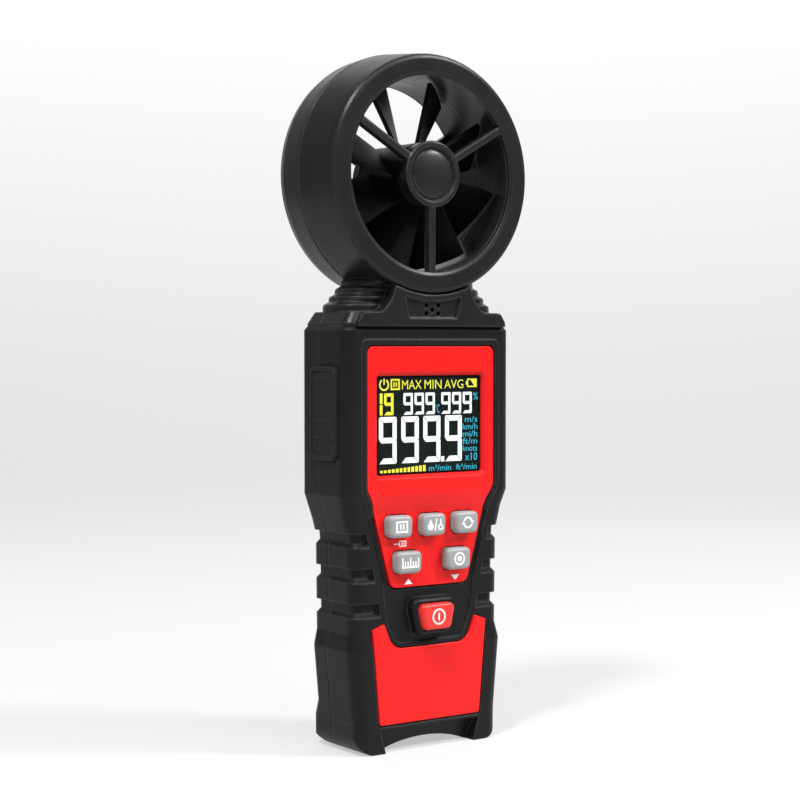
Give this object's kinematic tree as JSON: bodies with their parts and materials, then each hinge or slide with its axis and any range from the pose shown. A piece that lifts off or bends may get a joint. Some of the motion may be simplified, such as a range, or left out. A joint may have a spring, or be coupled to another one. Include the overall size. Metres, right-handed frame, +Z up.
{
  "type": "vane anemometer",
  "caption": "Upright hand-held vane anemometer: a shrouded rotating vane on a keypad handle with a display window, press keys, side grip pads and a tip-out battery door.",
  "frame": {"origin": "on the floor at the middle of the footprint", "axes": "+Z up through the vane head, keys and display face -Y, +X to the right of the display"},
  "size_m": [0.073, 0.0309, 0.2038],
  "materials": {
    "case_black": "fine satin texture",
    "head_black": "fine satin texture",
    "guard_black": "satin",
    "impeller_black": "satin",
    "panel_red": "semi-gloss painted face",
    "key_grey": "soft matte silicone",
    "key_red": "soft satin silicone",
    "pad_rubber": "matte rubber with raised dots",
    "window_clear": "clear polished window",
    "display_black": "black display glass",
    "white_plastic": "white",
    "board_green": "solder mask",
    "component_black": "moulded",
    "steel": "zinc plated",
    "magnet_grey": "sintered",
    "thread_brass": "machined",
    "tray_black": "moulded",
    "cell_jacket": "printed sleeve over a metal can",
    "ribbon_amber": "polyimide film"
  },
  "bodies": {
    "housing": {"air_sensor_board": "board_green", "back_shell": "case_black", "battery_cell_1": "cell_jacket", "battery_cell_2": "cell_jacket", "battery_cell_3": "cell_jacket", "battery_plates": "steel", "battery_springs": "steel", "battery_tray": "tray_black", "board_screws": "steel", "buzzer": "component_black", "case_screws": "steel", "display_backlight": "white_plastic", "display_glass": "display_black", "display_window": "window_clear", "drum_screws": "steel", "front_bearing": "steel", "front_guard": "guard_black", "front_hub_cap": "guard_black", "front_shell": "case_black", "head_front_shell": "head_black", "head_rear_shell": "head_black", "key_switches": "component_black", "left_grip_pad": "pad_rubber", "lower_panel": "panel_red", "main_board": "board_green", "neck_screws": "steel", "rear_bearing": "steel", "rear_guard": "guard_black", "rear_hub_cap": "guard_black", "right_grip_pad": "pad_rubber", "sensor_ribbon": "ribbon_amber", "tripod_insert": "thread_brass", "upper_panel": "panel_red", "usb_socket": "steel", "vane_pickup": "component_black"},
    "rotor": {"impeller": "impeller_black", "impeller_shaft": "steel", "impeller_magnet": "magnet_grey"},
    "battery_door": {"battery_door": "case_black"},
    "key_hold": {"key_hold": "key_grey"},
    "key_dew_point": {"key_dew_point": "key_grey"},
    "key_function": {"key_function": "key_grey"},
    "key_unit": {"key_unit": "key_grey"},
    "key_record": {"key_record": "key_grey"},
    "key_power": {"key_power": "key_red"}
  },
  "joints": [
    {"name": "impeller_spin", "type": "hinge", "parent": "housing", "child": "rotor", "pos_m": [0, 0, 0.1673], "axis": [0, 1, 0], "continuous": true},
    {"name": "key_hold_press", "type": "slide", "parent": "housing", "child": "key_hold", "axis": [0, 1, 0], "range_m": [0, 0.0008], "stiffness_N_per_m": 800, "springref_m": -0.0004},
    {"name": "key_dew_point_press", "type": "slide", "parent": "housing", "child": "key_dew_point", "axis": [0, 1, 0], "range_m": [0, 0.0008], "stiffness_N_per_m": 800, "springref_m": -0.0004},
    {"name": "key_function_press", "type": "slide", "parent": "housing", "child": "key_function", "axis": [0, 1, 0], "range_m": [0, 0.0008], "stiffness_N_per_m": 800, "springref_m": -0.0004},
    {"name": "key_unit_press", "type": "slide", "parent": "housing", "child": "key_unit", "axis": [0, 1, 0], "range_m": [0, 0.0008], "stiffness_N_per_m": 800, "springref_m": -0.0004},
    {"name": "key_record_press", "type": "slide", "parent": "housing", "child": "key_record", "axis": [0, 1, 0], "range_m": [0, 0.0008], "stiffness_N_per_m": 800, "springref_m": -0.0004},
    {"name": "key_power_press", "type": "slide", "parent": "housing", "child": "key_power", "axis": [0, 1, 0], "range_m": [0, 0.0008], "stiffness_N_per_m": 800, "springref_m": -0.0004},
    {"name": "battery_door_tip", "type": "hinge", "parent": "housing", "child": "battery_door", "pos_m": [0, 0.0108, 0.0142], "axis": [-1, 0, 0], "range_deg": [0, 60]}
  ]
}
